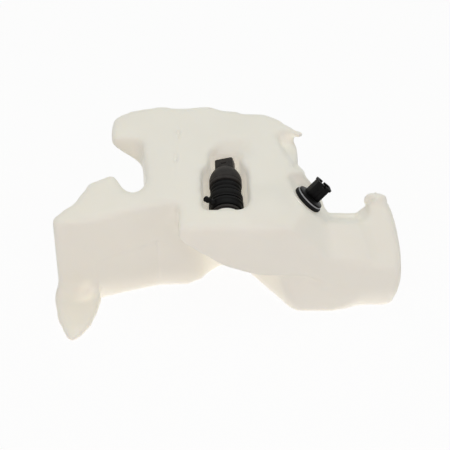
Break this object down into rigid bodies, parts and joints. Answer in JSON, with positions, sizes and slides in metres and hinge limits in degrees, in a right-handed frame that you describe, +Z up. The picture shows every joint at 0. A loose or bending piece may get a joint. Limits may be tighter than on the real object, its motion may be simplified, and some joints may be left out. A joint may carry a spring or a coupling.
{
  "type": "washer fluid reservoir",
  "caption": "Blow-moulded washer fluid tank with side wings and a saddle, a motor pump in a pocket and a plug-in level sensor.",
  "frame": {"origin": "on the flat underside, below the tank's middle behind the pump's pocket", "axes": "+X along the tank towards its saddle end, +Y towards the filler neck, +Z up as the tank lies on its back"},
  "size_m": [0.3796, 0.2647, 0.1504],
  "materials": {
    "ivory_polyethylene": "translucent satin",
    "black_plastic": "satin",
    "dark_plastic": "satin",
    "grey_plastic": "satin",
    "pale_plastic": "satin",
    "rubber": "soft",
    "steel": "plated",
    "bronze": "sintered",
    "copper": "bare",
    "brass": "bare",
    "ferrite": "sintered",
    "carbon": "pressed carbon",
    "glass": "clear"
  },
  "bodies": {
    "tank": {"tank_shell": "ivory_polyethylene", "lug_bush_left": "steel", "lug_bush_right": "steel", "lug_bush_top": "steel", "pump_grommet": "rubber", "inlet_cover": "dark_plastic", "inlet_strainer": "dark_plastic", "pump_housing": "black_plastic", "shaft_seal": "rubber", "motor_can": "steel", "lower_bush": "bronze", "magnet_left": "ferrite", "magnet_right": "ferrite", "brush_holder": "black_plastic", "brush_left": "carbon", "brush_right": "carbon", "upper_bush": "bronze", "pump_sleeve": "rubber", "pump_cap": "dark_plastic", "pump_terminal_left": "brass", "pump_terminal_right": "brass", "sensor_grommet": "rubber", "sensor_ring": "grey_plastic", "sensor_body": "black_plastic", "sensor_pin": "steel", "reed_switch": "glass", "sensor_terminal_left": "brass", "sensor_terminal_right": "brass"},
    "rotor": {"motor_shaft": "steel", "armature_core": "steel", "armature_winding": "copper", "commutator": "copper", "impeller": "pale_plastic"},
    "float": {"float_arm": "pale_plastic", "float_magnet": "ferrite"}
  },
  "joints": [
    {"name": "rotor_spin", "type": "hinge", "parent": "tank", "child": "rotor", "pos_m": [-0.00226, -0.0479, 0.10426], "axis": [-0.0254, 0.97, 0.2419], "continuous": true},
    {"name": "float_hinge", "type": "hinge", "parent": "tank", "child": "float", "pos_m": [0.05771, -0.06384, 0.07685], "axis": [0.7241, 0, -0.6897], "range_deg": [-35, 10]}
  ]
}
